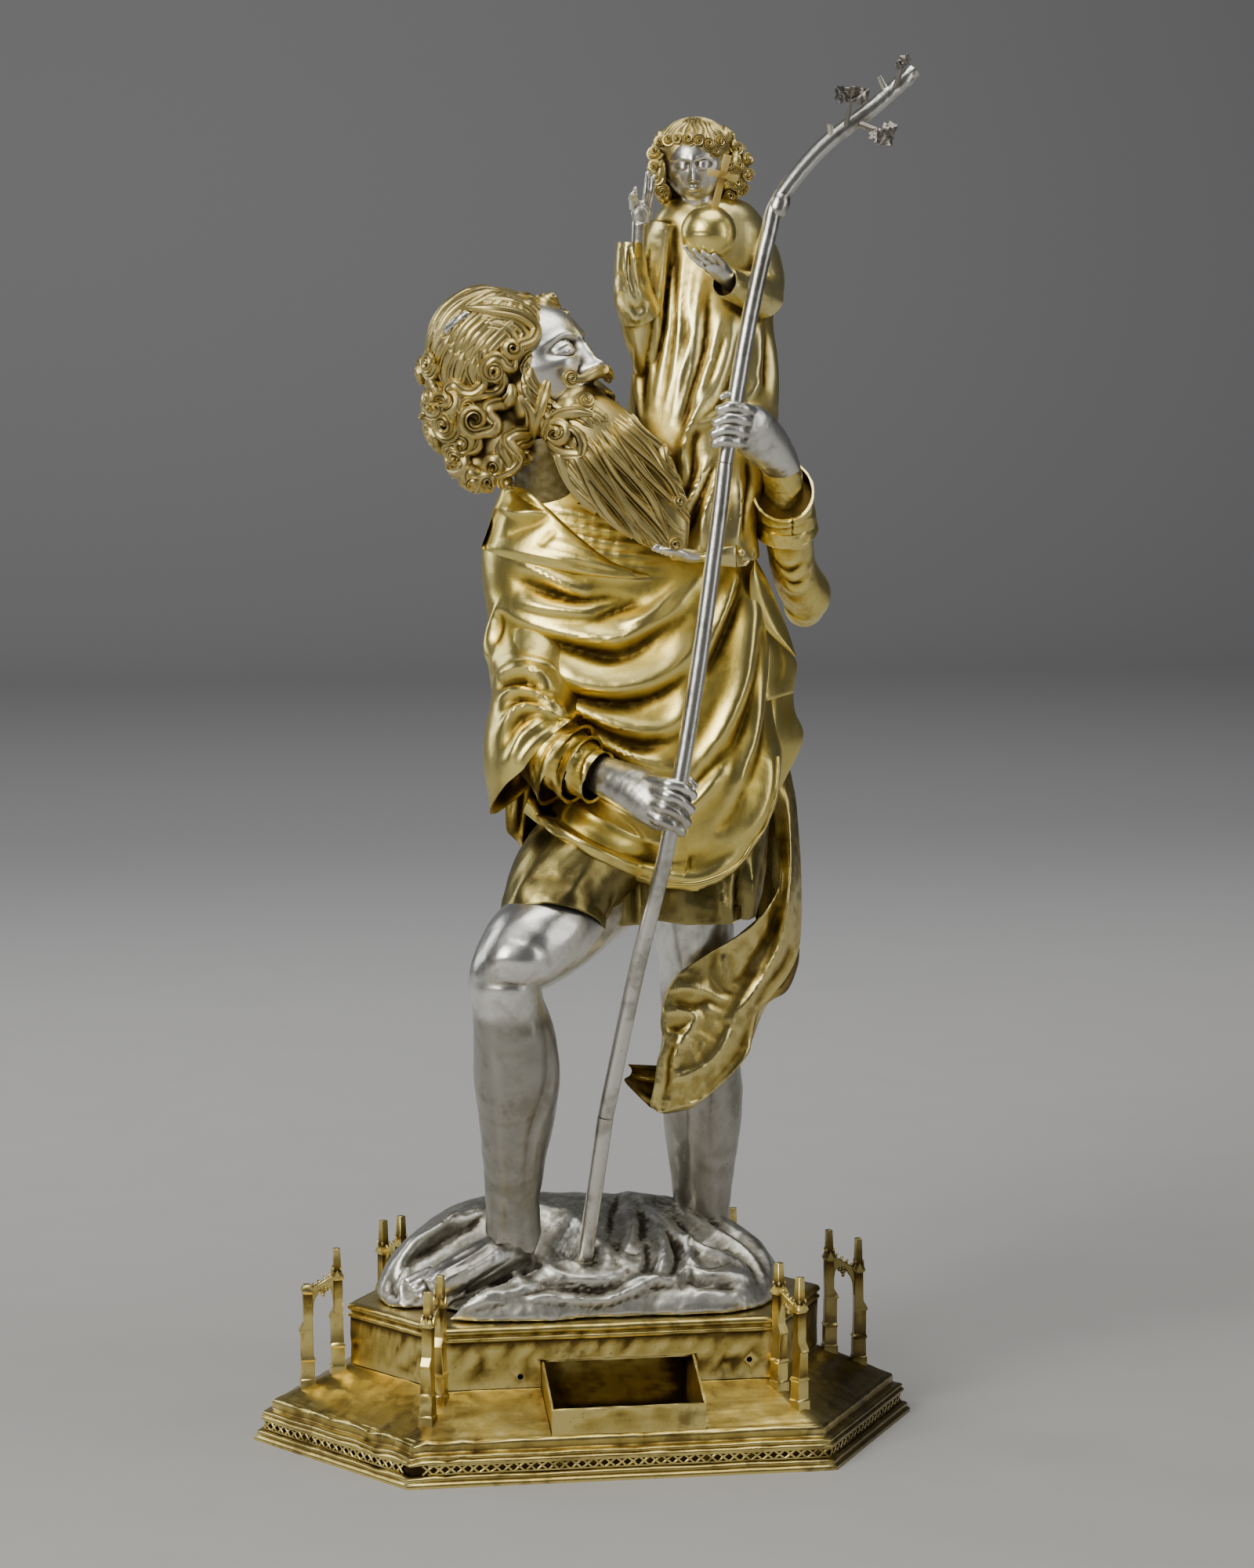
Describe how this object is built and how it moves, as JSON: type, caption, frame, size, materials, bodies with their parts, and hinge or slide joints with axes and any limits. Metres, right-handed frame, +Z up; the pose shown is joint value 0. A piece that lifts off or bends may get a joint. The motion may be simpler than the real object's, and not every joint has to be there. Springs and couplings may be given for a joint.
{
  "type": "figural reliquary statuette",
  "caption": "Reliquary statuette in gilt and part-gilt silver: a wading giant with a staff carries a child, over a moulded six-sided base with an open relic case.",
  "frame": {"origin": "centre of the base's plan, at the underside of the foot", "axes": "+Z up, +X to the right along the base's front side, +Y to the back; the relic case is at the front, -Y"},
  "size_m": [0.2884, 0.186, 0.588],
  "materials": {
    "gilt": "polished gilt with brown patina in the folds",
    "gilt_base": "worn gilt with brown-black patches",
    "gilt_hair": "chased gilt, dark brown in the grooves; the face is silver",
    "silver": "soft polished silver with grey tarnish",
    "tarnished_silver": "black tarnish"
  },
  "bodies": {
    "root": {"base_plate": "gilt_base", "pierced_band": "gilt_base", "socle": "gilt_base", "relic_case": "gilt_base", "buttress_front_left": "gilt_base", "buttress_front_right": "gilt_base", "buttress_right": "gilt_base", "buttress_back_right": "gilt_base", "buttress_back_left": "gilt_base", "buttress_left": "gilt_base", "rock": "silver", "right_foot": "silver", "right_leg": "silver", "left_leg": "silver", "right_hand": "silver", "left_hand": "silver", "child_right_hand": "silver", "child_left_hand": "silver", "child_foot": "silver", "staff_lower": "silver", "staff_middle": "silver", "staff_upper": "silver", "mantle": "gilt", "tunic": "gilt", "mantle_end": "gilt", "right_sleeve": "gilt", "left_sleeve": "gilt", "left_cuff": "gilt", "child_robe": "gilt", "orb": "gilt", "cross": "gilt", "saint_head": "gilt_hair", "child_head": "gilt_hair", "sprig_upper": "tarnished_silver", "sprig_inner": "tarnished_silver", "sprig_outer": "tarnished_silver"}
  },
  "joints": []
}
